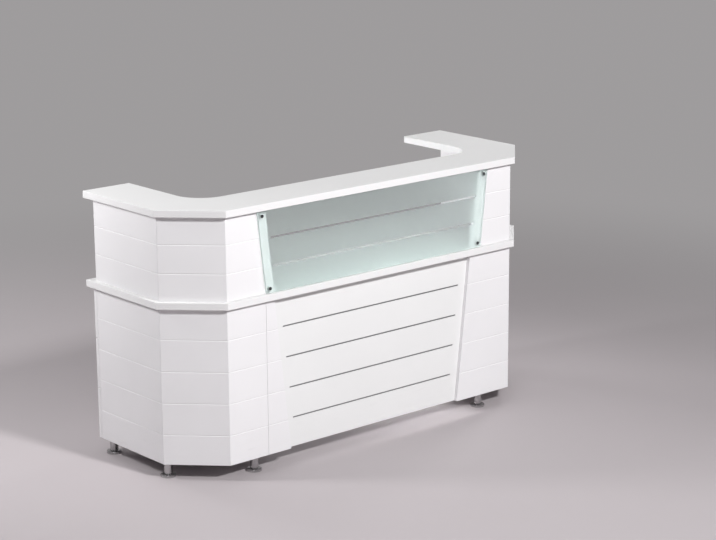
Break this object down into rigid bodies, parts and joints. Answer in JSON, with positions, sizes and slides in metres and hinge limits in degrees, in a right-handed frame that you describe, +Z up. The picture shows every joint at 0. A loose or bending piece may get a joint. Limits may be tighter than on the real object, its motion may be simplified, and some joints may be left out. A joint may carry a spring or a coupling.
{
  "type": "reception desk",
  "caption": "U-shaped reception desk with cut corners, grooved walls, raised counter, frosted glass front pane, worktop, drawer stack and cupboard on round metal legs.",
  "frame": {"origin": "on the floor, under the middle of the desk's overall box", "axes": "+X along the front, to the right as a visitor sees it; +Y towards the staff side; +Z up"},
  "size_m": [2, 0.7, 1.125],
  "materials": {
    "white_board": "white satin lacquer on board",
    "white_panel": "white satin lacquer on grooved board",
    "carcass": "white melamine board",
    "inlay": "brushed grey aluminium",
    "frosted_glass": "frosted, with clear stripes",
    "standoff": "dark satin steel",
    "leg": "polished chrome",
    "handle": "satin nickel",
    "runner": "plain grey plastic",
    "hinge": "nickel-plated steel"
  },
  "bodies": {
    "desk": {"counter_top": "white_board", "worktop": "white_board", "lower_side_left": "white_panel", "lower_corner_left": "white_panel", "lower_pilaster_left": "white_panel", "lower_cheek_left": "white_panel", "lower_pilaster_right": "white_panel", "lower_corner_right": "white_panel", "lower_side_right": "white_panel", "upper_side_left": "white_panel", "upper_corner_left": "white_panel", "upper_pilaster_left": "white_panel", "upper_pilaster_right": "white_panel", "upper_corner_right": "white_panel", "upper_side_right": "white_panel", "front_panel": "white_panel", "inlay_strip_1": "inlay", "inlay_strip_2": "inlay", "inlay_strip_3": "inlay", "inlay_strip_4": "inlay", "glass_pane": "frosted_glass", "standoff_upper_left": "standoff", "standoff_upper_right": "standoff", "standoff_lower_left": "standoff", "standoff_lower_right": "standoff", "leg_front_left": "leg", "leg_front_right": "leg", "leg_corner_left": "leg", "leg_corner_right": "leg", "leg_rear_left": "leg", "leg_rear_right": "leg", "leg_inner_left": "leg", "leg_inner_right": "leg", "base_left": "carcass", "base_right": "carcass", "gable_left": "carcass", "gable_right": "carcass", "drawer_runner_1_outer": "runner", "drawer_runner_1_inner": "runner", "drawer_runner_2_outer": "runner", "drawer_runner_2_inner": "runner", "drawer_runner_3_outer": "runner", "drawer_runner_3_inner": "runner", "cupboard_shelf": "carcass", "hinge_upper_frame_leaf": "hinge", "hinge_lower_frame_leaf": "hinge"},
    "drawer_1": {"drawer_box_1": "carcass", "drawer_front_1": "white_panel", "drawer_handle_1": "handle"},
    "drawer_2": {"drawer_box_2": "carcass", "drawer_front_2": "white_panel", "drawer_handle_2": "handle"},
    "drawer_3": {"drawer_box_3": "carcass", "drawer_front_3": "white_panel", "drawer_handle_3": "handle"},
    "door": {"cupboard_door": "white_panel", "cupboard_handle": "handle", "hinge_upper_door_leaf": "hinge", "hinge_lower_door_leaf": "hinge"}
  },
  "joints": [
    {"name": "drawer_1_slide", "type": "slide", "parent": "desk", "child": "drawer_1", "axis": [0, 1, 0], "range_m": [0, 0.32]},
    {"name": "drawer_2_slide", "type": "slide", "parent": "desk", "child": "drawer_2", "axis": [0, 1, 0], "range_m": [0, 0.32]},
    {"name": "drawer_3_slide", "type": "slide", "parent": "desk", "child": "drawer_3", "axis": [0, 1, 0], "range_m": [0, 0.32]},
    {"name": "door_hinge", "type": "hinge", "parent": "desk", "child": "door", "pos_m": [0.9843, 0.3065, 0.391], "axis": [0, 0, -1], "range_deg": [0, 180]}
  ]
}
